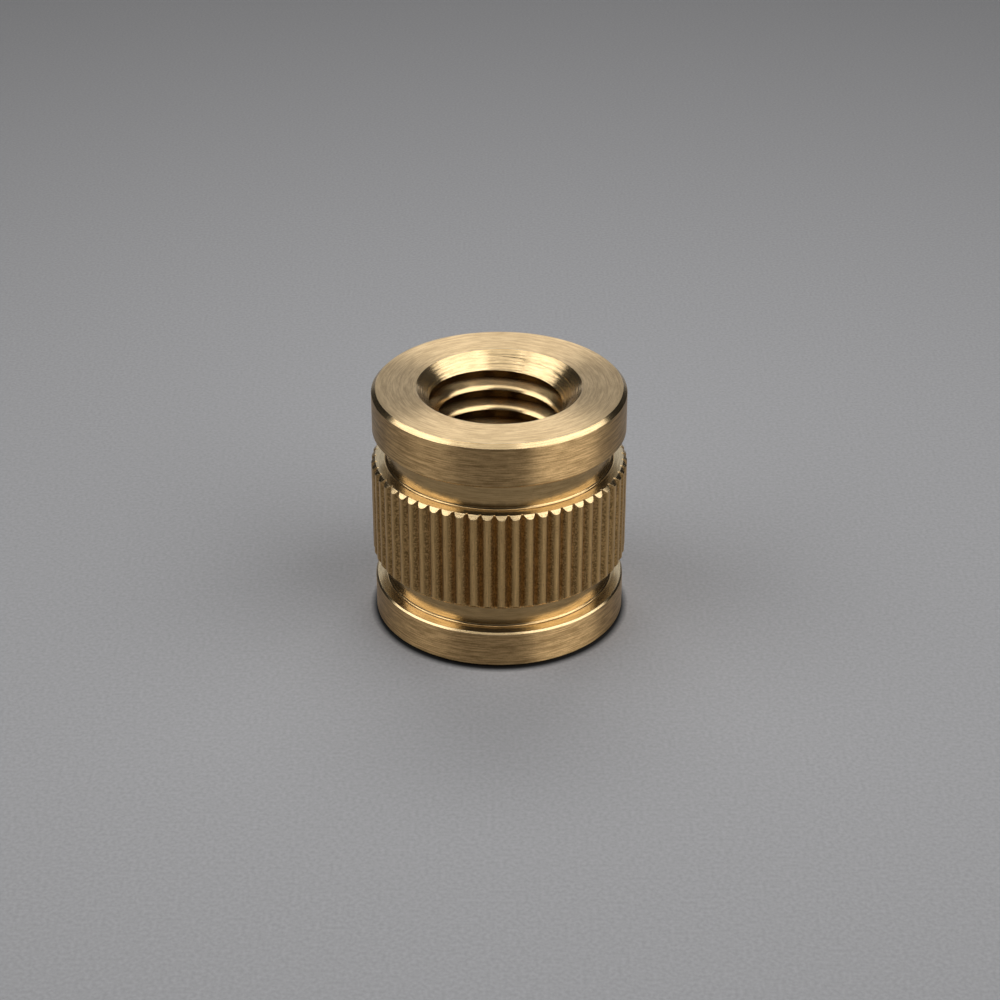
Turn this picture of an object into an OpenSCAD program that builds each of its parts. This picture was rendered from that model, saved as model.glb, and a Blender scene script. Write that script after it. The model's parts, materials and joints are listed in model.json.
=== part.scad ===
// Knurled threaded insert, turned in one piece from brass bar: a plain collar at each end, a groove
// inside each collar, a straight-knurled band between the grooves and a tapped hole right through.
// Sizes are in millimetres. +Z runs up the hole's axis, and the origin is in the middle of the end
// face that the insert stands on.

/* [Collars] */
// Outside diameter of both end collars
collar_d = 14; // [12:0.1:20]
// Height of the collar that the insert stands on
lower_collar_h = 2.25; // [1.8:0.05:5]
// Height of the collar at the top
upper_collar_h = 2.55; // [1.8:0.05:5]
// Chamfer round the outer end of each collar
rim_chamfer = 0.23; // [0.05:0.01:0.5]
// Broken edge of each collar beside its groove
edge_break = 0.1; // [0.02:0.01:0.3]

/* [Grooves] */
// Depth of both grooves below the collars
groove_depth = 0.75; // [0.6:0.05:1.2]
// Width of the groove above the lower collar
lower_groove_w = 1.55; // [1.1:0.05:4]
// Width of the groove below the upper collar
upper_groove_w = 1.72; // [1.1:0.01:4]
// Corner radius that the grooving tool leaves
groove_corner_r = 0.35; // [0.1:0.05:0.45]

/* [Knurled band] */
// Length of the band, with its chamfered ends
knurl_h = 5.78; // [2:0.01:20]
// How far the teeth stand out past the collars
knurl_proud = 0.1; // [0.05:0.01:0.4]
// Spacing of the teeth round the band, which rounds to a whole number of teeth
knurl_pitch = 0.77; // [0.65:0.01:1.2]
// Depth of the V between two teeth
valley_depth = 0.27; // [0.15:0.01:0.35]
// Angle between the two flanks of that V
valley_angle = 69; // [50:1:80]
// Chamfer at each end of the band
knurl_chamfer = 0.2; // [0.1:0.01:0.5]
// Turn of the first tooth from the front, towards the right, in degrees
first_tooth = 1; // [-3:0.1:3]

/* [Tapped hole] */
// Nominal diameter of the metric thread
thread_d = 8; // [5:0.5:8.5]
// Pitch of the thread
thread_pitch = 1.25; // [0.75:0.05:1.5]
// How far the countersink's rim lies outside the thread
countersink_margin = 0.55; // [0.1:0.05:0.7]
// Included angle of the countersink at each end
countersink_angle = 90; // [80:1:120]

/* [Hidden] */
$fn = 96;

// Diameter of the drilled hole, as a share of the pitch below the thread's nominal diameter
MINOR_PER_PITCH = 1.0825;
BRASS = [0.71, 0.56, 0.32];

collar_r = collar_d / 2;
groove_r = collar_r - groove_depth;
knurl_r = collar_r + knurl_proud;

lower_groove_z = lower_collar_h;
knurl_z = lower_groove_z + lower_groove_w;
upper_groove_z = knurl_z + knurl_h;
upper_collar_z = upper_groove_z + upper_groove_w;
total_h = upper_collar_z + upper_collar_h;

hole_r = (thread_d - MINOR_PER_PITCH * thread_pitch) / 2;
countersink_r = thread_d / 2 + countersink_margin;
countersink_depth = (countersink_r - hole_r) / tan(countersink_angle / 2);

knurl_teeth = round(2 * PI * knurl_r / knurl_pitch);
tooth_step = 360 / knurl_teeth;
valley_r = knurl_r - valley_depth;
// The V is drawn to twice its depth, so that it opens well outside the teeth
valley_reach = 2 * valley_depth;

// Half of the section through the axis, with square groove corners
module turned_section() {
    polygon([
        [countersink_r, 0],
        [collar_r - rim_chamfer, 0],
        [collar_r, rim_chamfer],
        [collar_r, lower_groove_z - edge_break],
        [collar_r - edge_break, lower_groove_z],
        [groove_r, lower_groove_z],
        [groove_r, knurl_z],
        [knurl_r - knurl_chamfer, knurl_z],
        [knurl_r, knurl_z + knurl_chamfer],
        [knurl_r, upper_groove_z - knurl_chamfer],
        [knurl_r - knurl_chamfer, upper_groove_z],
        [groove_r, upper_groove_z],
        [groove_r, upper_collar_z],
        [collar_r - edge_break, upper_collar_z],
        [collar_r, upper_collar_z + edge_break],
        [collar_r, total_h - rim_chamfer],
        [collar_r - rim_chamfer, total_h],
        [countersink_r, total_h],
        [hole_r, total_h - countersink_depth],
        [hole_r, countersink_depth]
    ]);
}

// The metal left in one corner of a groove: up is 1 for a lower corner and -1 for an upper one
module groove_corner(z, up) {
    translate([groove_r, z]) scale([1, up]) difference() {
        square(groove_corner_r);
        translate([groove_corner_r, groove_corner_r]) circle(groove_corner_r);
    }
}

// One V rolled into the band, on the +X side, open at both ends into the grooves
module knurl_valley() {
    half_w = valley_reach * tan(valley_angle / 2);
    translate([valley_r, 0, knurl_z - lower_groove_w / 2])
        linear_extrude(knurl_h + (lower_groove_w + upper_groove_w) / 2)
            polygon([[0, 0], [valley_reach, -half_w], [valley_reach, half_w]]);
}

// The insert: the section turned about the axis, then a valley between each tooth and the next
module insert_body() {
    color(BRASS) difference() {
        rotate_extrude() {
            turned_section();
            groove_corner(lower_groove_z, 1);
            groove_corner(knurl_z, -1);
            groove_corner(upper_groove_z, 1);
            groove_corner(upper_collar_z, -1);
        }
        for (i = [0 : knurl_teeth - 1])
            rotate(-90 + first_tooth + (i + 0.5) * tooth_step) knurl_valley();
    }
}

insert_body();
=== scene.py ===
# %% [markdown]
# # A knurled brass insert
# The object is one small turned piece: two collars, two grooves, a knurled band and a tapped hole.
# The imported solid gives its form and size. This lesson makes a finer skin over that solid, with the
# cut thread, the softened edges and the marks of the tools, and then lights it as the photo does.

# %% Load the frame
import json
import math

import bpy
import numpy as np
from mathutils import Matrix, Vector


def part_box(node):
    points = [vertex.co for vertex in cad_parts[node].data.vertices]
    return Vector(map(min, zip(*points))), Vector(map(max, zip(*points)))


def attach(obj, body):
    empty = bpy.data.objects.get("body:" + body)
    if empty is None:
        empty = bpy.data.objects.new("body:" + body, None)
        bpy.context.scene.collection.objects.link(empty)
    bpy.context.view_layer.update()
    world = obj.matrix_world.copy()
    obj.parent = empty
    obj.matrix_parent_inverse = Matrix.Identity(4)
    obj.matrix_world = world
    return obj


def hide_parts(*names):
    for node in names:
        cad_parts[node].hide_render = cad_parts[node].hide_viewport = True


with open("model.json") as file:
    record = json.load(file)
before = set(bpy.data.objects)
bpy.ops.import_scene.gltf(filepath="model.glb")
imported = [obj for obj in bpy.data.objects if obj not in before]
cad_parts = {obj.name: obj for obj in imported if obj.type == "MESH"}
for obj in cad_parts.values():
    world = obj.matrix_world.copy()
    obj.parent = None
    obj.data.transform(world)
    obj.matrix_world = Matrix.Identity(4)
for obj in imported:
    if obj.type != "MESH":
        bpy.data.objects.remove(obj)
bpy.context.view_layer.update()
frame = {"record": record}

MM = 0.001

# %% [markdown]
# ## The sizes
# A maker would turn this from 15 mm brass bar. The overall height, the diameter over the knurl and the
# hole are read from the frame. The others are named here in millimetres, as in the solid, so that the
# skin lies on it. Three are finer than in the solid, because reflections in the photo show them so:
# sharper corners in the grooves, slightly deeper valleys and slightly longer chamfers on the teeth.

# %% Sizes
NODE = "insert_body"
thread_mount = next(m for m in frame["record"]["mounts"] if m["kind"] == "threaded_hole")
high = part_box(NODE)[1]
total_h = high.z / MM
knurl_r = high.x / MM
hole_r = thread_mount["dims"]["r_mm"]

knurl_proud = 0.1
collar_r = knurl_r - knurl_proud
rim_chamfer = 0.23
edge_break = 0.1
groove_depth = 0.75
groove_r = collar_r - groove_depth
groove_corner_r = 0.15

lower_collar_h = 2.25
lower_groove_w = 1.55
knurl_h = 5.78
upper_groove_w = 1.72
lower_groove_z = lower_collar_h
knurl_z = lower_groove_z + lower_groove_w
upper_groove_z = knurl_z + knurl_h
upper_collar_z = upper_groove_z + upper_groove_w

knurl_teeth = 58
knurl_chamfer = 0.22
valley_depth = 0.3
valley_angle = math.radians(69)
first_tooth = math.radians(1)

thread_d = 8
thread_pitch = 1.25
countersink_margin = 0.55
countersink_r = thread_d / 2 + countersink_margin
print(f"height {total_h:.2f}, over the knurl {2 * knurl_r:.2f}, hole {2 * hole_r:.3f} mm")

# %% [markdown]
# ## A profile with soft corners
# On a lathe every edge ends up very slightly rounded, and that sliver is what catches the light. A
# Bevel modifier could do it, but here the arc is worked out directly: it starts and ends at the radius
# times the tangent of half the turn, on either side of the corner. A holding point beyond each end
# keeps the flat faces shading flat.

# %% Rounded corners
def unit(v):
    """Each vector divided by its own length."""
    return v / np.linalg.norm(v, axis=-1, keepdims=True)


def soft_corner(before, corner, after, radius, steps=3, hold=0.01):
    """Rows of points round one corner of a profile, for all columns at once.
    The arc starts at the corner less the way in times radius * tan(turn / 2), and each point is the
    centre, less radius * cos(a) along the side, plus radius * sin(a) along the way in."""
    way_in = unit(corner - before)
    way_out = unit(after - corner)
    cross = way_in[..., 0] * way_out[..., 1] - way_in[..., 1] * way_out[..., 0]
    dot = (way_in * way_out).sum(-1)
    turn = np.arctan2(np.abs(cross), dot)
    side = np.sign(cross)[..., None] * np.stack([-way_in[..., 1], way_in[..., 0]], -1)
    reach = (radius * np.tan(turn / 2))[..., None]
    centre = corner - way_in * reach + side * radius
    a = np.linspace(0, 1, steps)[:, None, None] * turn[None, :, None]
    arc = centre - radius * np.cos(a) * side + radius * np.sin(a) * way_in
    first = corner - way_in * (reach + hold)
    last = corner + way_out * (reach + hold)
    return np.concatenate([first[None], arc, last[None]])


def soft_profile(corners, radii, steps):
    """Rows of a whole profile: its first point, each inner corner rounded in turn, its last point.
    Corners have the shape (points, columns, 2), as radius and height."""
    rows = [corners[:1]]
    for i in range(1, len(corners) - 1):
        rows.append(soft_corner(corners[i - 1], corners[i], corners[i + 1], radii[i], steps[i]))
    rows.append(corners[-1:])
    return np.concatenate(rows)


# %% [markdown]
# ## Collars and grooves
# These are plain turned surfaces, so one half section serves for every column round the axis. The
# section runs from the ledge above the knurl up round the top collar to its end face, and again from
# the lower end face to the ledge below the knurl. Each kind of corner is a pair, its radius and the
# number of points on its arc, and big corners get more points than edge breaks. A Screw modifier could
# turn the section, but the knurl and the thread need the points themselves, so all are arrays.

# %% Turned section
PLAIN = (0, 0)
EDGE = (0.03, 3)
RIM = (0.05, 4)
CORNER = (groove_corner_r, 9)
PAST_CORNER = 0.02
ledge_r = groove_r + groove_corner_r + PAST_CORNER
face_r = 5.2

upper_section = [
    (ledge_r, upper_groove_z, *PLAIN),
    (groove_r, upper_groove_z, *CORNER),
    (groove_r, upper_collar_z, *CORNER),
    (collar_r - edge_break, upper_collar_z, *EDGE),
    (collar_r, upper_collar_z + edge_break, *EDGE),
    (collar_r, total_h - rim_chamfer, *RIM),
    (collar_r - rim_chamfer, total_h, *RIM),
    (face_r, total_h, *PLAIN),
]
lower_section = [
    (face_r, 0, *PLAIN),
    (collar_r - rim_chamfer, 0, *RIM),
    (collar_r, rim_chamfer, *RIM),
    (collar_r, lower_groove_z - edge_break, *EDGE),
    (collar_r - edge_break, lower_groove_z, *EDGE),
    (groove_r, lower_groove_z, *CORNER),
    (groove_r, knurl_z, *CORNER),
    (ledge_r, knurl_z, *PLAIN),
]


def turned_rows(section):
    """A section of (radius, height, rounding, points) turned into rows of one column."""
    r, z, radii, steps = zip(*section)
    corners = np.stack([r, z], -1)[:, None, :].astype(float)
    return soft_profile(corners, radii, steps)


upper_rows = turned_rows(upper_section)
lower_rows = turned_rows(lower_section)
print("rows in the turned sections:", len(upper_rows), len(lower_rows))

# %% [markdown]
# ## The thread
# The hole is a height field: for each angle and height it has one radius. The thread is a 60 degree
# profile carried up a right-hand helix. Its crests aren't flat but lean: each has a sharp lower edge
# and rolls over from it, and that curve carries the bright lines in the photo. A boolean with a
# screw-shaped cutter could make it, but then the edges would fall where the cutter's facets do.

# %% Thread
BACK = math.pi / 2
CREST_BELOW_TOP = 1.81
CREST_AT_BACK = total_h - CREST_BELOW_TOP
FLANK = math.tan(math.radians(30))
CREST_HALF = thread_pitch / 8
ROLL_R = 0.6
ROLL_LOW = math.radians(30)
ROLL_HIGH = math.radians(60)
ROLL_RISE = ROLL_R * (math.sin(ROLL_HIGH) - math.sin(ROLL_LOW))


def crest_height(angle):
    """Height of one crest's middle: it climbs one pitch in each turn, anticlockwise from above."""
    turn = (angle - BACK) / (2 * math.pi)
    return CREST_AT_BACK + thread_pitch * turn


def thread_radius(angle, z):
    """Radius of the thread, by the height up from a crest's sharp lower edge. From that edge the crest
    rolls over, on a circle whose slope goes from 30 to 60 degrees. Then the flank goes out by
    1 / tan(30 degrees) for each step up, to the nominal radius, and comes in again under the next."""
    up = np.mod(z - crest_height(angle) + CREST_HALF, thread_pitch)
    rolled = np.minimum(up, ROLL_RISE)
    sine = math.sin(ROLL_LOW) + rolled / ROLL_R
    crest = hole_r + ROLL_R * (math.cos(ROLL_LOW) - np.sqrt(1 - sine ** 2))
    upper = crest + (up - rolled) / FLANK
    lower = hole_r + (thread_pitch - up) / FLANK
    return np.minimum(np.minimum(upper, lower), thread_d / 2)


print("crest rises", round(ROLL_RISE, 3), "mm as it rolls over")

# %% [markdown]
# ## The countersinks
# A 90 degree countersink opens each end of the hole, so its radius is the rim's less the depth. Its
# tool leaves shallow rings, and the tap's first touch leaves one fine line round the back right. A
# bump in the material could draw them, but here they are in the radius itself, so they bend the
# highlights as real marks do. Where thread and countersinks meet, the deepest cut is what is left.

# %% Countersinks
RING_STEP = 0.21
FINE_RING_STEP = 0.61 * RING_STEP
RING_HEIGHT = 0.0022
RING_FADE = 0.1
TOUCH_DEPTH = 0.33
TOUCH_WIDTH = 0.028
TOUCH_CUT = 0.016
TOUCH_CLIMB = 0.8
TOUCH_LEAD = 0.2
TOUCH_END = 1.75
FADE_IN = 0.3
FADE_OUT = 0.5


def cone_radius(angle, depth):
    """Radius of a countersink at a depth below its face: its rim less the depth, plus rings that are
    two sines of the depth, plus one fine helical line that fades in and out round the back right."""
    turned_by = 2 * math.pi * depth
    rings = np.sin(turned_by / RING_STEP) + np.sin(turned_by / FINE_RING_STEP + 1)
    fade = np.clip(depth / RING_FADE, 0, 1)
    round_right = np.mod(BACK - angle + TOUCH_LEAD, 2 * math.pi)
    climb = thread_pitch * (round_right - TOUCH_LEAD) / (2 * math.pi) * TOUCH_CLIMB
    line = depth - TOUCH_DEPTH - climb
    there = np.clip(round_right / FADE_IN, 0, 1) * np.clip((TOUCH_END - round_right) / FADE_OUT, 0, 1)
    touch = TOUCH_CUT * there * np.exp(-(line / TOUCH_WIDTH) ** 2)
    return countersink_r - depth + RING_HEIGHT * fade * rings + touch


def both_cones(angle, z):
    """Whichever of the two countersinks is wider at a height."""
    return np.maximum(cone_radius(angle, total_h - z), cone_radius(angle, z))


def hole_radius(angle, z):
    """The hole's radius: whichever of the thread and the two countersinks has cut furthest out."""
    return np.maximum(thread_radius(angle, z), both_cones(angle, z))


print("countersinks:", round(2 * countersink_r, 2), "mm across")

# %% [markdown]
# ## Level rows in the hole
# The grid of the hole starts with level rows and four columns to each tooth of the knurl. The rows
# lie close together on the top cone and on the turns that can be seen from outside, and further apart
# deep inside. An even grid, as fine everywhere as on the cone, would need far more triangles.

# %% Level rows
PER_TOOTH = 4
PLAIN_COLUMNS = PER_TOOTH * knurl_teeth
tooth_step = 2 * math.pi / knurl_teeth
valley_at = -math.pi / 2 + first_tooth + tooth_step / 2
plain_angle = valley_at + np.arange(PLAIN_COLUMNS) * tooth_step / PER_TOOTH

RIM_INSET = 0.04
CONE_STEP = 0.03
PAST_CONE = 0.1
SHOWN_STEP = thread_pitch / 17
DEEP_STEP = thread_pitch / 10
SHOWN = 4.6
SHOWN_BELOW = 0.75 * SHOWN
BOTTOM_GAP = 0.06
BOTTOM_ROWS = 20
cone_end = countersink_r - hole_r + PAST_CONE

top_cone = np.arange(total_h - RIM_INSET, total_h - cone_end, -CONE_STEP)
upper_turns = np.arange(top_cone[-1] - SHOWN_STEP, total_h - SHOWN, -SHOWN_STEP)
deep_turns = np.arange(upper_turns[-1] - DEEP_STEP, SHOWN_BELOW, -DEEP_STEP)
lower_turns = np.arange(deep_turns[-1] - SHOWN_STEP, cone_end, -SHOWN_STEP)
bottom_cone = np.linspace(lower_turns[-1] - BOTTOM_GAP, RIM_INSET, BOTTOM_ROWS)
level = np.concatenate([top_cone, upper_turns, deep_turns, lower_turns, bottom_cone])
hole_z = np.repeat(level[:, None], PLAIN_COLUMNS, axis=1)
print("rows in the hole:", len(level), "columns:", PLAIN_COLUMNS)

# %% [markdown]
# ## Rows that follow the edges
# A level row would cross the thread's edges at a slant and leave them ragged. So in each column the
# row nearest to an edge of a crest or a root moves onto it. A grid that winds up with the helix would
# follow the edges too, but it would need two odd ends to meet the level rims.

# %% Rows on the edges
def move_rows_to(edge_z, columns):
    """Puts the row nearest to each edge onto it, between the first row and the last."""
    inside = (edge_z < level[0]) & (edge_z > level[-1])
    nearest = np.abs(level[:, None] - edge_z[inside][None]).argmin(0)
    hole_z[nearest, columns[inside]] = edge_z[inside]


TURNS_EACH_WAY = 14
turns = np.arange(-TURNS_EACH_WAY, TURNS_EACH_WAY + 1)[:, None]
crest_z = crest_height(plain_angle)[None] + turns * thread_pitch
thread_depth = thread_d / 2 - hole_r
roll_out = ROLL_R * (math.cos(ROLL_LOW) - math.cos(ROLL_HIGH))
flank_top = ROLL_RISE + (thread_depth - roll_out) * FLANK
under_next = thread_pitch - thread_depth * FLANK
column = np.arange(PLAIN_COLUMNS)
for up in (0, ROLL_RISE / 2, ROLL_RISE, flank_top, under_next):
    edge = crest_z - CREST_HALF + up
    move_rows_to(edge.ravel(), np.broadcast_to(column, edge.shape).ravel())
print("heights of crests in each column:", len(crest_z))

# %% [markdown]
# ## Where the thread runs out
# At each end the thread breaks out through the countersink, and it stops at a curved edge that the
# photo shows. That edge has no simple formula, so it is looked for on fine rows: it lies where the
# difference of the two radii changes sign. The nearest rows of the grid move there.

# %% Rows on the run-out
FINE_ROWS = 1500
for face_z, inward in ((total_h, -1), (0, 1)):
    fine = np.linspace(face_z, face_z + inward * cone_end, FINE_ROWS)[:, None]
    depth = inward * (fine - face_z)
    gap = thread_radius(plain_angle[None], fine) - cone_radius(plain_angle[None], depth)
    row, col = np.nonzero(gap[:-1] * gap[1:] < 0)
    share = gap[row, col] / (gap[row, col] - gap[row + 1, col])
    move_rows_to(fine[row, 0] + share * (fine[row + 1, 0] - fine[row, 0]), col)

hole_rr = hole_radius(plain_angle[None], hole_z)
print("smallest radius in the hole:", round(float(hole_rr.min()), 3))

# %% [markdown]
# ## The knurl
# A knurling wheel presses a V between each tooth and the next and leaves the tops nearly flat. So one
# tooth is a short list of places across it, from valley to valley, repeated round the band. An Array
# modifier could repeat it too, but then all teeth would be the same. Real ones differ a little, so
# each gets its own small lift, lean and shift.

# %% Tooth section
valley_half = valley_depth * math.tan(valley_angle / 2) / (knurl_r * tooth_step)
NEAR_EDGE = 0.04
flank_places = [0, 0.03, 0.11, valley_half - NEAR_EDGE, valley_half]
half_tooth = np.array(flank_places + [valley_half + NEAR_EDGE, 0.36, 0.43])
across = np.concatenate([half_tooth, [0.5], 1 - half_tooth[:0:-1]])
TOP_SOFT = 0.1
VALLEY_SOFT = 0.01
TEETH_SEED = 58
LIFT = 0.005
LEAN = 0.035
SHIFT = 0.010
draw = np.random.default_rng(TEETH_SEED)
lift = np.clip(draw.normal(0, LIFT, knurl_teeth), -2 * LIFT, 2 * LIFT)
lean = draw.normal(0, LEAN, knurl_teeth)
shift = np.clip(draw.normal(0, SHIFT, knurl_teeth), -2 * SHIFT, 2 * SHIFT)
sway = draw.uniform(0, 2 * math.pi, (2, knurl_teeth))


def tooth_radius(t, tooth):
    """Radius across a tooth: up one flank, level over the top and down the other, with the corners at
    the top and the bottom of the V softened by a smooth minimum and maximum."""
    flank = valley_depth * np.minimum(t, 1 - t) / valley_half
    top = valley_depth + lift[tooth] + lean[tooth] * (t - 0.5) * tooth_step * knurl_r
    depth = 0.5 * (flank + top - np.sqrt((flank - top) ** 2 + TOP_SOFT ** 2))
    return knurl_r - valley_depth + np.sqrt(np.maximum(depth, 0) ** 2 + VALLEY_SOFT ** 2)


tooth = np.repeat(np.arange(knurl_teeth), len(across))
tooth_share = np.tile(across, knurl_teeth)
even = np.tile(np.arange(len(across)) / len(across), knurl_teeth)
moved = shift[tooth] * np.sin(math.pi * tooth_share)
band_angle = valley_at + (tooth + tooth_share + moved) * tooth_step
even_angle = valley_at + (tooth + even) * tooth_step
band_r = tooth_radius(tooth_share, tooth)
BAND_COLUMNS = len(band_r)
print("knurl:", knurl_teeth, "teeth,", BAND_COLUMNS, "columns")

# %% [markdown]
# ## The ends of the teeth
# The ends of the band are chamfered on the lathe. The chamfer starts at the same radius in every
# column, and each column runs out along it until it meets its own part of the tooth. Seen from above,
# that gives each tooth its bright pointed end. Cutting the chamfer off a finished band would give the
# same form, but with points wherever the cut happened to fall.

# %% Band corners
BAND_EDGE = 0.016
BAND_POINTS = 3
LEDGE_SPAN = 0.08
LEAST_RUN = 0.03
inner_r = np.full(BAND_COLUMNS, ledge_r + LEDGE_SPAN)
run = np.maximum(band_r - (knurl_r - knurl_chamfer), LEAST_RUN)
lead_r = band_r - run


def place(r, z):
    """One corner of the band in every column, as radius and height."""
    return np.stack([r, np.broadcast_to(z, r.shape)], -1)


corners = np.stack([
    place(inner_r, upper_groove_z),
    place(lead_r, upper_groove_z),
    place(band_r, upper_groove_z - run),
    place(band_r, knurl_z + run),
    place(lead_r, knurl_z),
    place(inner_r, knurl_z),
])
band = soft_profile(corners, [0] + 4 * [BAND_EDGE] + [0], [0] + 4 * [BAND_POINTS] + [0])
print("rows at the two ends of the band:", len(band))

# %% [markdown]
# ## A little sway
# Rolled teeth aren't quite straight: the pressure of the wheel varies, so they wander in and out by a
# few thousandths of a millimetre. Extra rows down each tooth carry two waves, which start at a
# different point in every tooth and die away at its ends. A Displace modifier with a noise texture
# could do it, but it would roughen the chamfers as well.

# %% Rows down the teeth
WALL_ROWS = 7
SWAY = 0.0035
LONG_WAVE = 2.3
SHORT_WAVE = 0.9
SHORT_SHARE = 0.6
half = len(band) // 2
share = np.linspace(0, 1, WALL_ROWS + 2)[1:-1, None, None]
wall = band[half - 1] + share * (band[half] - band[half - 1])
wave = np.sin(2 * math.pi * wall[..., 1] / LONG_WAVE + sway[0, tooth])
wave += SHORT_SHARE * np.sin(2 * math.pi * wall[..., 1] / SHORT_WAVE + sway[1, tooth])
wall[..., 0] += SWAY * wave * np.sin(math.pi * share[..., 0])
band = np.concatenate([band[:half], wall, band[half:]])
print("rows in the band:", len(band))

# %% [markdown]
# ## One closed skin
# The plain rows need only four columns to a tooth, and the knurl needs sixteen. So there are two
# grids: the plain one from the upper ledge over the top, down the hole and round to the lower ledge,
# and the knurled one between the ledges. First all their points are put about the axis.

# %% Points
RIM_SOFT = 0.06
RIM_POINTS = 4
INTO_CONE = 0.5


def turned_points(r, z, angle):
    """Points at a radius, a height and an angle about the axis, in metres."""
    r, z, angle = np.broadcast_arrays(r, z, angle)
    return MM * np.stack([r * np.cos(angle), r * np.sin(angle), z], -1)


def rim_rows(face_z, inward):
    """The softened rim between an end face and its countersink, from the face to the hole."""
    face = np.array([[face_r, face_z]], float)
    rim = np.array([[countersink_r, face_z]], float)
    into = np.array([[countersink_r - INTO_CONE, face_z + inward * INTO_CONE]])
    return soft_corner(face, rim, into, RIM_SOFT, RIM_POINTS)


top_rim = rim_rows(total_h, -1)
bottom_rim = rim_rows(0, 1)[::-1]
pieces_of_plain = [
    turned_points(upper_rows[..., 0], upper_rows[..., 1], plain_angle[None]),
    turned_points(top_rim[:-1, :, 0], top_rim[:-1, :, 1], plain_angle[None]),
    turned_points(hole_rr, hole_z, plain_angle[None]),
    turned_points(bottom_rim[1:, :, 0], bottom_rim[1:, :, 1], plain_angle[None]),
    turned_points(lower_rows[..., 0], lower_rows[..., 1], plain_angle[None]),
]
plain = np.concatenate(pieces_of_plain)
band_angles = np.repeat(band_angle[None], len(band), axis=0)
band_angles[[0, -1]] = even_angle
knurled = turned_points(band[..., 0], band[..., 1], band_angles)
points = np.concatenate([plain.reshape(-1, 3), knurled.reshape(-1, 3)])
print("points:", len(points))

# %% [markdown]
# ## Joining the grids
# Each cell of a grid becomes two triangles. In the hole the cut goes along whichever diagonal lies
# nearer to the true surface, so that the thread's edges don't turn into saw teeth. A strip on each
# flat ledge joins one plain edge to four knurled ones, and the flatness hides the change. A positive
# volume shows that the faces point outwards.

# %% Faces
def cells(rows, columns, first):
    """The four corners of every cell of a grid whose last column joins its first."""
    row, col = np.meshgrid(np.arange(rows - 1), np.arange(columns), indexing="ij")
    here = first + row * columns
    a = here + col
    b = here + (col + 1) % columns
    return np.stack([a, b, b + columns, a + columns], -1).reshape(-1, 4)


def split(quads):
    """Two triangles for each cell. In the hole the diagonal is the one whose middle is nearer to the
    hole's radius at the middle of the cell, and elsewhere it runs from the first corner."""
    p = points[quads]
    radius = np.hypot(p[..., 0], p[..., 1])
    middle_angle = np.arctan2(p[..., 1].sum(1), p[..., 0].sum(1))
    true = MM * hole_radius(middle_angle, p[..., 2].mean(1) / MM)
    one = np.abs((radius[:, 0] + radius[:, 2]) / 2 - true)
    other = np.abs((radius[:, 1] + radius[:, 3]) / 2 - true)
    turn = (radius.max(1) < MM * countersink_r) & (other < one)
    a = np.where(turn[:, None], quads[:, [0, 1, 3]], quads[:, [0, 1, 2]])
    b = np.where(turn[:, None], quads[:, [1, 2, 3]], quads[:, [0, 2, 3]])
    return np.concatenate([a, b])


def strip(plain_row, band_row):
    """Joins a plain row to a knurled one: five triangles for each plain edge."""
    k = np.arange(PLAIN_COLUMNS)
    p = plain_row + k
    q = plain_row + (k + 1) % PLAIN_COLUMNS
    m = [band_row + (PER_TOOTH * k + j) % BAND_COLUMNS for j in range(PER_TOOTH + 1)]
    fans = [(p, m[0], m[1]), (p, m[1], m[2]), (p, m[2], q), (q, m[2], m[3]), (q, m[3], m[4])]
    return np.concatenate([np.stack(f, -1) for f in fans])


plain_size = len(plain) * PLAIN_COLUMNS
plain_faces = split(cells(len(plain), PLAIN_COLUMNS, 0))
band_faces = split(cells(len(band), BAND_COLUMNS, plain_size))
upper_strip = strip(0, plain_size)
lower_strip = strip(plain_size - PLAIN_COLUMNS, plain_size + (len(band) - 1) * BAND_COLUMNS)
faces = np.concatenate([plain_faces, band_faces[:, ::-1], upper_strip, lower_strip[:, ::-1]])

corner_a, corner_b, corner_c = points[faces].transpose(1, 0, 2)
volume = (corner_a * np.cross(corner_b, corner_c)).sum() / 6
print("triangles:", len(faces), "volume in mm3:", round(float(volume) / MM ** 3, 1))

# %% [markdown]
# ## Which finish goes where
# Each tool leaves its own surface: the turned collars, the faced ends, the smooth chamfers and cones,
# the grooves, their flat ledges, the rolled knurl and the tapped thread. They could be painted with a
# mask, but each follows from where a triangle lies, so its middle decides. The knurl's chamfers stay
# bright, as they were cut, except down in the valleys, where the wheel has been.

# %% Finish of each triangle
TURNED, FACED, SMOOTH, GROOVED, LEDGE, ROLLED, TAPPED = range(7)
NEAR = 0.005
LEAST_LEAD = 0.02
PAST_LEAD = 0.008
VALLEY_FROM = 0.75
middle = points[faces].mean(1) / MM
middle_r = np.hypot(middle[:, 0], middle[:, 1])
middle_z = middle[:, 2]
middle_angle = np.arctan2(middle[:, 1], middle[:, 0])

ledges = np.array([lower_groove_z, knurl_z, upper_groove_z, upper_collar_z])
in_groove = (middle_r < groove_r + groove_corner_r) & (middle_r > groove_r - NEAR)
on_end = np.minimum(np.abs(middle_z), np.abs(middle_z - total_h)) < NEAR
thread_cut = thread_radius(middle_angle, middle_z) > both_cones(middle_angle, middle_z)

band_number = np.arange(len(faces)) - len(plain_faces)
in_band = (band_number >= 0) & (band_number < len(band_faces))
from_crest = np.repeat(np.abs(2 * tooth_share - 1)[None], len(band), axis=0)
valley = np.concatenate([np.zeros(plain_size), from_crest.ravel()])
from_end = np.minimum(upper_groove_z - middle_z, middle_z - knurl_z)
lead = np.maximum(middle_r - knurl_r + knurl_chamfer, LEAST_LEAD)
under_chamfer = from_end > lead + PAST_LEAD
on_flank = (valley[faces].mean(1) > VALLEY_FROM) & (from_end > NEAR)

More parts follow.
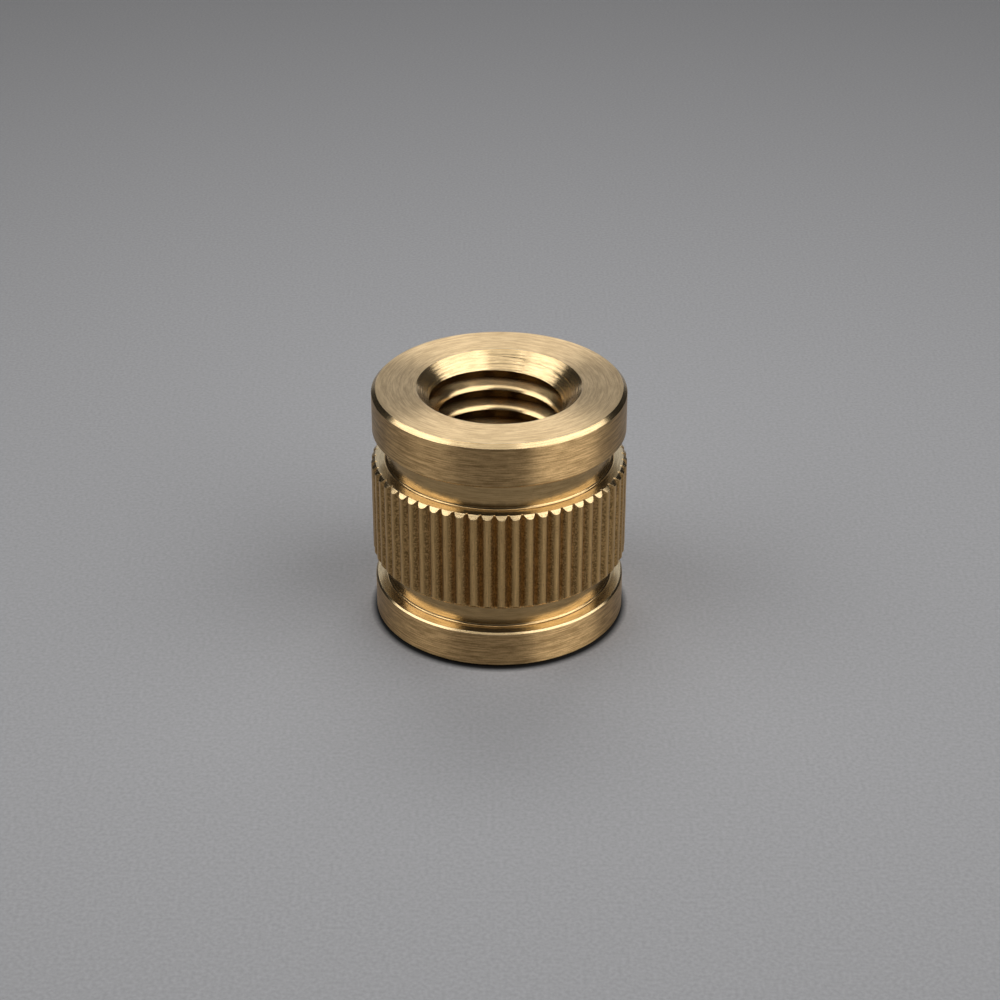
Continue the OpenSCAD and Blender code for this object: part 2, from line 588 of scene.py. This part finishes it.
finish_of = np.full(len(faces), SMOOTH)
finish_of[np.abs(middle_r - collar_r) < NEAR] = TURNED
finish_of[in_groove] = GROOVED
finish_of[np.abs(middle_z[:, None] - ledges).min(1) < NEAR] = LEDGE
finish_of[on_end] = FACED
finish_of[(middle_r < countersink_r) & thread_cut] = TAPPED
finish_of[in_band & (under_chamfer | on_flank)] = ROLLED
print("triangles by finish:", np.bincount(finish_of))

# %% [markdown]
# ## The mesh
# The arrays go into Blender whole with foreach_set, which is much quicker than adding faces one by
# one. The skin is smooth-shaded except across edges sharper than the limit. It rides on the one body
# and stands in for the solid of the same piece.

# %% Mesh
SHARP = math.radians(34)


def mesh_from(name, points, faces, finish):
    """A mesh from whole arrays of points and triangles, with the finish of each."""
    mesh = bpy.data.meshes.new(name)
    mesh.vertices.add(len(points))
    mesh.vertices.foreach_set("co", points.astype(np.float32).ravel())
    mesh.loops.add(faces.size)
    mesh.loops.foreach_set("vertex_index", faces.astype(np.int32).ravel())
    mesh.polygons.add(len(faces))
    mesh.polygons.foreach_set("loop_start", np.arange(0, faces.size, 3, dtype=np.int32))
    mesh.polygons.foreach_set("material_index", finish.astype(np.int32))
    mesh.update(calc_edges=True)
    mesh.validate()
    return mesh


skin = mesh_from("brass_insert", points, faces, finish_of)
skin.shade_smooth()
skin.set_sharp_from_angle(angle=SHARP)
insert = bpy.data.objects.new("brass_insert", skin)
bpy.context.scene.collection.objects.link(insert)
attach(insert, "root")
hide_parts(NODE)
print("mesh:", insert.name, "with", len(skin.polygons), "triangles")

# %% [markdown]
# ## Exact shading in the hole
# A thread is all narrow slanting strips, and averaged normals make its highlights wavy. A finer grid
# would cure it at a great cost in triangles. The formula for the radius is known, so the direction
# that the surface faces is worked out from its slope instead, and set at each corner of each triangle.
# It is measured a little way in from the corner, so that a sharp edge keeps its two sides apart.

# %% Hole normals
SLOPE_STEP = 0.002
TOWARDS_MIDDLE = 0.2


def hole_normal(angle, z):
    """The way that the hole's surface faces: towards the axis, tipped by how fast the radius grows
    round the axis and up it, each taken between two points a small step apart."""
    turn = SLOPE_STEP / hole_r
    rise_round = hole_radius(angle + turn, z) - hole_radius(angle - turn, z)
    rise_up = hole_radius(angle, z + SLOPE_STEP) - hole_radius(angle, z - SLOPE_STEP)
    grow_round = rise_round / (2 * SLOPE_STEP)
    grow_up = rise_up / (2 * SLOPE_STEP)
    x = -np.cos(angle) - grow_round * np.sin(angle)
    y = -np.sin(angle) + grow_round * np.cos(angle)
    return unit(np.stack([x, y, grow_up], -1))


hole_first = len(pieces_of_plain[0]) + len(pieces_of_plain[1])
hole_last = hole_first + len(level) - 1
grid_row = faces // PLAIN_COLUMNS
in_hole = ((grid_row >= hole_first) & (grid_row <= hole_last)).all(1)
hole_faces = faces[in_hole]
corner_angle = plain_angle[hole_faces % PLAIN_COLUMNS]
from_first = np.mod(corner_angle - corner_angle[:, :1] + math.pi, 2 * math.pi) - math.pi
corner_angle = corner_angle[:, :1] + from_first
corner_z = points[hole_faces][..., 2] / MM
near_angle = corner_angle + TOWARDS_MIDDLE * (corner_angle.mean(1, keepdims=True) - corner_angle)
near_z = corner_z + TOWARDS_MIDDLE * (corner_z.mean(1, keepdims=True) - corner_z)
normals = np.empty(3 * faces.size, np.float32)
skin.corner_normals.foreach_get("vector", normals)
normals = normals.reshape(-1, 3, 3)
normals[in_hole] = hole_normal(near_angle, near_z)
skin.normals_split_custom_set(normals.reshape(-1, 3))
print("triangles in the hole with exact shading:", len(hole_faces))

# %% [markdown]
# ## Where shade and dirt are painted
# The valleys of the knurl and the roots of the thread are darker in colour: partly tarnish and oil,
# partly painted shade for the light that reaches them less.
# Pointiness or ambient occlusion could find such places, but they depend on the mesh or the renderer.
# The shape's own formula knows them, so two numbers are stored at each point for the materials.

# %% Numbers for the materials
def store(name, values):
    """Keeps one number at each point of the skin, for a material to read."""
    kept = skin.attributes.new(name, "FLOAT", "POINT")
    kept.data.foreach_set("value", values.astype(np.float32))


out_from_axis = np.hypot(points[:, 0], points[:, 1]) / MM
store("valley", valley)
store("root", np.clip((out_from_axis - hole_r) / thread_depth, 0, 1))
print("stored:", [a.name for a in skin.attributes if a.name in ("valley", "root")])

# %% [markdown]
# ## Helpers for materials
# A material is a small graph of nodes. Building it by hand in the editor is good for trying things
# out, but a script that says what is joined to what can be read again later. These helpers each add
# one node and return its result, so that a material reads like a sum.

# %% Node helpers
def feed(tree, socket, value):
    """Links a socket to another one, or sets its plain value."""
    if isinstance(value, bpy.types.NodeSocket):
        tree.links.new(value, socket)
    else:
        socket.default_value = value


def node(tree, kind, inputs=(), **settings):
    """Adds one node, with its settings and its inputs by name or place."""
    made = tree.nodes.new(kind)
    for name, value in settings.items():
        setattr(made, name, value)
    for name, value in dict(inputs).items():
        feed(tree, made.inputs[name], value)
    return made


def sums(tree, operation, *values):
    """The result of one arithmetic step."""
    return node(tree, "ShaderNodeMath", dict(enumerate(values)), operation=operation).outputs[0]


def weighted(tree, *pairs):
    """The sum of some values, each times its own share."""
    total = sums(tree, "MULTIPLY", *pairs[0])
    for value, share in pairs[1:]:
        total = sums(tree, "ADD", total, sums(tree, "MULTIPLY", value, share))
    return total


def spread(tree, value, low, high, start=0.3, end=0.7):
    """Maps the values from start to end onto those from low to high, and holds them there."""
    return node(tree, "ShaderNodeMapRange", {
        "Value": value, "From Min": start, "From Max": end, "To Min": low, "To Max": high,
    }).outputs[0]


def blend(tree, amount, low, high):
    """A colour between two, by an amount from 0 to 1."""
    mixed = node(tree, "ShaderNodeMix", data_type="RGBA")
    feed(tree, mixed.inputs["Factor"], amount)
    feed(tree, mixed.inputs[6], low)
    feed(tree, mixed.inputs[7], high)
    return mixed.outputs[2]


def object_spot(tree):
    """Object coordinates, which stay with a piece wherever it goes."""
    return node(tree, "ShaderNodeTexCoord").outputs["Object"]


# %% [markdown]
# ## Turning marks
# A lathe tool leaves fine rings, and each is broken into short streaks. An ordinary noise stretched
# along X or Y would look right on one side only. Here the noise is looked up by the radius, the height
# and the direction round the axis, so that it is drawn out round the part and meets itself after a
# turn. The same rings stretch a highlight across themselves, which the shader calls anisotropy.

# %% Marks round the axis
QUARTER_TURN = 0.25


def axis_coordinates(tree):
    """Object coordinates as radius, height and the cosine and sine of the angle round the axis."""
    x, y, z = node(tree, "ShaderNodeSeparateXYZ", {0: object_spot(tree)}).outputs
    r = sums(tree, "SQRT", weighted(tree, (x, x), (y, y)))
    return r, z, sums(tree, "DIVIDE", x, r), sums(tree, "DIVIDE", y, r)


def ring_noise(tree, axis, width, around, detail=2.0):
    """Noise drawn out round the axis: one mark is about a width across, and there are about six times
    the around number of them in a turn. It is looked up at the direction times around, the radius and
    the height divided by the width, so it meets itself after a turn."""
    r, z, cosine, sine = axis
    spot = node(tree, "ShaderNodeCombineXYZ", {
        0: sums(tree, "MULTIPLY", cosine, around),
        1: sums(tree, "MULTIPLY", sine, around),
        2: sums(tree, "DIVIDE", r, width),
    }).outputs[0]
    height = sums(tree, "DIVIDE", z, width)
    inputs = {"Vector": spot, "W": height, "Scale": 1.0, "Detail": detail}
    return node(tree, "ShaderNodeTexNoise", inputs, noise_dimensions="4D").outputs[0]


def stretch_highlight(tree, shader, amount):
    """Draws the highlight out across rings that run round the axis."""
    shader.inputs["Anisotropic"].default_value = amount
    shader.inputs["Anisotropic Rotation"].default_value = QUARTER_TURN
    tangent = node(tree, "ShaderNodeTangent", direction_type="RADIAL", axis="Z").outputs[0]
    feed(tree, shader.inputs["Tangent"], tangent)


# %% [markdown]
# ## Starting a finish
# Every finish starts from the Principled shader, as metal unless it says otherwise. Plain noise gives
# it grain, and a bump gives the finest marks their relief. Real geometry carries everything larger,
# since a bump doesn't change an outline.

# %% A new finish
def new_finish(name, metallic=1):
    """A material with only its shader, and the node tree to add to."""
    material = bpy.data.materials.new(name)
    material.use_nodes = True
    shader = material.node_tree.nodes["Principled BSDF"]
    shader.inputs["Metallic"].default_value = metallic
    return material, material.node_tree, shader


def noise(tree, spot, size, detail=2.0):
    """Noise whose marks are about a size across: it is looked up at the spot divided by the size."""
    inputs = {"Vector": spot, "Scale": 1 / size, "Detail": detail}
    return node(tree, "ShaderNodeTexNoise", inputs).outputs[0]


def raise_marks(tree, shader, marks, height):
    """Bumps a surface by a noise, to a true height."""
    bump = node(tree, "ShaderNodeBump", {"Strength": 1.0, "Distance": height, "Height": marks})
    feed(tree, shader.inputs["Normal"], bump.outputs[0])


# %% [markdown]
# ## Brass from the lathe
# All the cut surfaces are bare brass, but each tool leaves its own lustre. The collars and end faces
# are the coarsest, with clear streaks. The chamfers and countersinks are finer, and the grooves are the
# finest, so that one wall shows in the other as dark arcs and golden wedges. Five separate materials
# could be drawn by hand, but one recipe with five sets of values keeps them looking like one metal.

# %% Cut finishes
STREAK = 0.10 * MM
HAIR = 0.045 * MM
BROAD = 0.42 * MM
GRAIN = 0.07 * MM
STREAK_HEIGHT = 0.0010 * MM


def ring_cut(name, dull, bright, rough, stretch):
    """Brass cut on the lathe. Its marks are short streaks, longer hairs and a little grain, which move
    the colour between dull and bright. Broad bands move the roughness, and the highlight is stretched
    across the rings."""
    material, tree, shader = new_finish(name)
    axis = axis_coordinates(tree)
    streaks = ring_noise(tree, axis, STREAK, around=8.0)
    hairs = ring_noise(tree, axis, HAIR, around=4.0, detail=0.0)
    bands = ring_noise(tree, axis, BROAD, around=1.4)
    grain = noise(tree, object_spot(tree), GRAIN)
    marks = weighted(tree, (streaks, 0.5), (hairs, 0.3), (grain, 0.2))
    lustre = spread(tree, marks, 0, 1, start=0.40, end=0.60)
    feed(tree, shader.inputs["Base Color"], blend(tree, lustre, dull, bright))
    feed(tree, shader.inputs["Roughness"], spread(tree, bands, *rough))
    stretch_highlight(tree, shader, stretch)
    raise_marks(tree, shader, streaks, STREAK_HEIGHT)
    return material


turned = ring_cut(
    "bright_turned", dull=(0.32, 0.203, 0.086, 1), bright=(0.63, 0.415, 0.195, 1),
    rough=(0.36, 0.42), stretch=0.9)
faced = ring_cut(
    "faced_ends", dull=(0.36, 0.258, 0.136, 1), bright=(0.55, 0.408, 0.234, 1),
    rough=(0.36, 0.42), stretch=0.9)
smooth = ring_cut(
    "smooth_cut", dull=(0.44, 0.32, 0.167, 1), bright=(0.57, 0.42, 0.232, 1),
    rough=(0.21, 0.27), stretch=0.75)
grooved = ring_cut(
    "grooved", dull=(0.37, 0.247, 0.112, 1), bright=(0.54, 0.367, 0.174, 1),
    rough=(0.19, 0.24), stretch=0.5)
ledge = ring_cut(
    "ledge", dull=(0.52, 0.425, 0.276, 1), bright=(0.65, 0.534, 0.349, 1),
    rough=(0.19, 0.24), stretch=0.5)
print("cut finishes:", [m.name for m in (turned, faced, smooth, grooved, ledge)])

# %% [markdown]
# ## The rolled knurl
# The wheel presses the metal and doesn't cut it, so the teeth are grainy, with lines drawn along them.
# The valleys are darkened in specks: partly brown tarnish, partly painted shade for the light that
# reaches down into them less. A plain dark colour in the valleys would look painted. So the stored
# depth and a fine noise decide together where the darkening lies, and the very bottom gets less of it.

# %% Rolled finish
SPECK = 0.11 * MM
LINE = 0.055 * MM
LINE_LONG = 1.1 * MM
GRAIN_HEIGHT = 0.0050 * MM
PATCHINESS = 1.3
SHADE_AND_TARNISH_AT_BOTTOM = 0.6
CLEAN = ((0.40, 0.252, 0.104, 1), (0.86, 0.565, 0.252, 1))
SHADE_AND_TARNISH_TONES = ((0.14, 0.083, 0.029, 1), (0.48, 0.298, 0.12, 1))


def stored_number(tree, name):
    """A number that was stored at each point."""
    return node(tree, "ShaderNodeAttribute", attribute_name=name).outputs["Fac"]


rolled, tree, shader = new_finish("rolled_knurl")
spot = object_spot(tree)
specks = noise(tree, spot, SPECK, detail=3.0)
along_teeth = (1 / LINE, 1 / LINE, 1 / LINE_LONG)
drawn = node(tree, "ShaderNodeMapping", {"Vector": spot, "Scale": along_teeth}).outputs[0]
lines = noise(tree, drawn, 1.0)
grain = weighted(tree, (specks, 0.5), (lines, 0.5))
deep = stored_number(tree, "valley")
off_middle = sums(tree, "SUBTRACT", specks, 0.5)
patchy = sums(tree, "ADD", deep, sums(tree, "MULTIPLY", off_middle, PATCHINESS))
# Painted shade and tarnish: the valleys go towards dark browns by depth and specks, a little less at the
# very bottom.
less_at_bottom = spread(tree, deep, 1.0, SHADE_AND_TARNISH_AT_BOTTOM, start=0.6, end=0.9)
painted_shade_and_dirt = sums(tree, "MULTIPLY", less_at_bottom, spread(tree, patchy, 0, 1, start=0.02, end=0.50))
clean = blend(tree, spread(tree, grain, 0, 1, start=0.36, end=0.64), *CLEAN)
shade_and_tarnish = blend(tree, spread(tree, specks, 0, 1, start=0.38, end=0.62), *SHADE_AND_TARNISH_TONES)
feed(tree, shader.inputs["Base Color"], blend(tree, painted_shade_and_dirt, clean, shade_and_tarnish))
feed(tree, shader.inputs["Roughness"], spread(tree, grain, 0.42, 0.30))
raise_marks(tree, shader, grain, GRAIN_HEIGHT)
print("rolled finish:", len(tree.nodes), "nodes")

# %% [markdown]
# ## The tapped thread
# A tap cuts cleanly and leaves the flanks smooth. The roots are darkened in colour: partly a trace of
# dark oil, partly painted shade for the light that reaches them less. The finish is like the
# countersink's, with finer marks and no bump, since the flanks are too small to show one. The stored
# root number darkens only the deepest part. Then the seven finishes go onto the skin in the order in
# which the triangles were numbered.

# %% Tapped finish
TAP_MARK = 0.07 * MM
TAP_ROUGH = 0.24
TAP_STRETCH = 0.7
ROOT_SHADE_AND_OIL = (0.13, 0.077, 0.03, 1)
TAP_BRASS = ((0.48, 0.34, 0.168, 1), (0.57, 0.414, 0.222, 1))

threadside, tree, shader = new_finish("tapped_thread")
marks = ring_noise(tree, axis_coordinates(tree), TAP_MARK, around=3.0)
# Painted shade and oil: the deepest part of each root goes towards a dark brown.
root_shade_and_oil = spread(tree, stored_number(tree, "root"), 0, 1, start=0.7, end=1.0)
feed(tree, shader.inputs["Base Color"], blend(tree, root_shade_and_oil, blend(tree, marks, *TAP_BRASS), ROOT_SHADE_AND_OIL))
shader.inputs["Roughness"].default_value = TAP_ROUGH
stretch_highlight(tree, shader, TAP_STRETCH)

for finish in (turned, faced, smooth, grooved, ledge, rolled, threadside):
    skin.materials.append(finish)
print("finishes on the skin:", len(skin.materials))

# %% [markdown]
# ## The floor
# The floor is plain and grey, paler round the insert and darker further out, with a dark line of
# contact under the lower collar. A spotlight could give the fall-off, but it would also light the
# brass. So the fall-off is painted light: the floor's grey itself falls off with the distance from
# the axis, as one over one plus its square. The dark line is a painted contact shadow, a near-black
# ring just outside the collar.

# %% Floor
FLOOR_HALF = 2
FALL_OFF = 115 * MM
CONTACT = 0.4
CONTACT_SHARE = 0.04
FLECK = 0.2 * MM
PALE = ((0.215, 0.215, 0.22, 1), (0.258, 0.258, 0.264, 1))
PAINTED_FALLOFF_GREY = (0.027, 0.027, 0.028, 1)
PAINTED_CONTACT_SHADOW = (0.004, 0.004, 0.004, 1)

floor_mesh = bpy.data.meshes.new("floor")
floor_corners = [(FLOOR_HALF * x, FLOOR_HALF * y, 0) for x, y in ((-1, -1), (1, -1), (1, 1), (-1, 1))]
floor_mesh.from_pydata(floor_corners, [], [(0, 1, 2, 3)])
floor = bpy.data.objects.new("floor", floor_mesh)

paper, tree, shader = new_finish("grey_paper", metallic=0)
away = axis_coordinates(tree)[0]
# Painted pool of light: the grey goes towards a dark grey with the distance from the axis, standing in
# for a light's fall-off.
square = sums(tree, "DIVIDE", sums(tree, "MULTIPLY", away, away), FALL_OFF ** 2)
near = sums(tree, "DIVIDE", 1.0, sums(tree, "ADD", 1.0, square))
flecks = noise(tree, object_spot(tree), FLECK)
lit = blend(tree, near, PAINTED_FALLOFF_GREY, blend(tree, spread(tree, flecks, 0, 1), *PALE))
# Painted contact shadow: the floor goes near black in a narrow ring just outside the collar.
out_of_painted_shadow = spread(tree, away, CONTACT_SHARE, 1, start=collar_r * MM, end=(collar_r + CONTACT) * MM)
feed(tree, shader.inputs["Base Color"], blend(tree, out_of_painted_shadow, PAINTED_CONTACT_SHADOW, lit))
shader.inputs["Roughness"].default_value = 0.8
shader.inputs["Specular IOR Level"].default_value = 0.1
floor_mesh.materials.append(paper)
bpy.context.scene.collection.objects.link(floor)
print("floor:", 2 * FLOOR_HALF, "m square")

# %% [markdown]
# ## The camera
# The camera looks down by about thirty degrees from close by, so the upper collar looks wider than
# the lower one. Its angle and distance were found from the ellipses of the two rims. It aims near the
# middle of the insert, so no shift of the lens is needed.

# %% Camera
LENS = 82.74
SENSOR = 36
NEAREST = 1 * MM
VIEW_UP = math.radians(29.6)
VIEW_FAR = 128.9 * MM
AIM = (0.043 * MM, 0, 6.649 * MM)

lens_data = bpy.data.cameras.new("view")
lens_data.lens = LENS
lens_data.sensor_width = SENSOR
lens_data.clip_start = NEAREST
camera = bpy.data.objects.new("view", lens_data)
bpy.context.scene.collection.objects.link(camera)
back = VIEW_FAR * math.cos(VIEW_UP)
above = VIEW_FAR * math.sin(VIEW_UP)
camera.location = (AIM[0], AIM[1] - back, AIM[2] + above)
camera.rotation_euler = (math.pi / 2 - VIEW_UP, 0, 0)
bpy.context.scene.camera = camera
print("camera at", [round(x / MM, 1) for x in camera.location], "mm")

# %% [markdown]
# ## The lights
# Brass shows little of its own: what is seen is the room in it. The photo's bright bands come from
# large soft boxes at the left, the right, overhead and behind, and the dark front of the collars is
# the gap between them, where the camera stands. One big dome would be simpler, but it would light the
# front as well. Each box is given by the angles that it covers, as seen from the insert.

# %% A softbox
LIT = (AIM[0], AIM[1], 8 * MM)
LIGHT_FAR = 0.45


def softbox(name, around, up, radiance):
    """A soft rectangle of light aimed at the insert, given by the angles that it covers: around from the
    front towards the right, and up from the floor, in degrees. Its sides are twice the distance times
    the tangent of half of each range, and its power is the radiance times pi times the area."""
    a = math.radians(sum(around) / 2)
    e = math.radians(sum(up) / 2)
    data = bpy.data.lights.new(name, "AREA")
    data.shape = "RECTANGLE"
    data.size = 2 * LIGHT_FAR * math.tan(math.radians(around[1] - around[0]) / 2) * math.cos(e)
    data.size_y = 2 * LIGHT_FAR * math.tan(math.radians(up[1] - up[0]) / 2)
    data.energy = radiance * math.pi * data.size * data.size_y
    box = bpy.data.objects.new(name, data)
    box.location = (
        LIT[0] + LIGHT_FAR * math.cos(e) * math.sin(a),
        LIT[1] - LIGHT_FAR * math.cos(e) * math.cos(a),
        LIT[2] + LIGHT_FAR * math.sin(e),
    )
    box.rotation_euler = (math.pi / 2 - e, 0, a)
    bpy.context.scene.collection.objects.link(box)


# %% [markdown]
# ## Where the boxes stand
# There is a bank of boxes at each side, two boxes overhead and a bank behind, which the flat top shows
# to the camera. Each bank is a stack, so that its brightness can change with height as it does in the
# photo's reflections. One texture on one large light could do the same, but a stack is easier to
# tune. The room beyond them is nearly black.

# %% Lights
ROOM = (0.02, 0.02, 0.02, 1)

softbox("left_top", around=(-105, -48), up=(56, 70), radiance=2.1)
softbox("left_high", around=(-112, -50), up=(42, 56), radiance=3.05)
softbox("left_mid", around=(-112, -44), up=(24, 42), radiance=3.2)
softbox("left_low", around=(-80, -56), up=(0, 14), radiance=0.8)
softbox("right_top", around=(28, 105), up=(56, 70), radiance=2.5)
softbox("right_high", around=(30, 112), up=(42, 56), radiance=2.9)
softbox("right_mid", around=(40, 112), up=(24, 42), radiance=2.8)
softbox("right_side", around=(30, 84), up=(12, 24), radiance=1.9)
softbox("right_low", around=(30, 90), up=(0, 12), radiance=5.2)
softbox("front_top", around=(-48, 34), up=(56, 70), radiance=1.65)
softbox("over_front", around=(-60, 60), up=(70, 84), radiance=2.3)
softbox("back_low", around=(152, 208), up=(0, 20), radiance=0.9)
softbox("back_mid", around=(152, 208), up=(20, 42), radiance=0.56)
softbox("back_high", around=(152, 208), up=(42, 56), radiance=5.4)
softbox("back_top", around=(152, 208), up=(56, 70), radiance=2.6)

world = bpy.data.worlds.new("room")
world.use_nodes = True
world.node_tree.nodes["Background"].inputs["Color"].default_value = ROOM
bpy.context.scene.world = world
bpy.context.scene.view_settings.view_transform = "Standard"
print("softboxes:", len(bpy.data.lights))
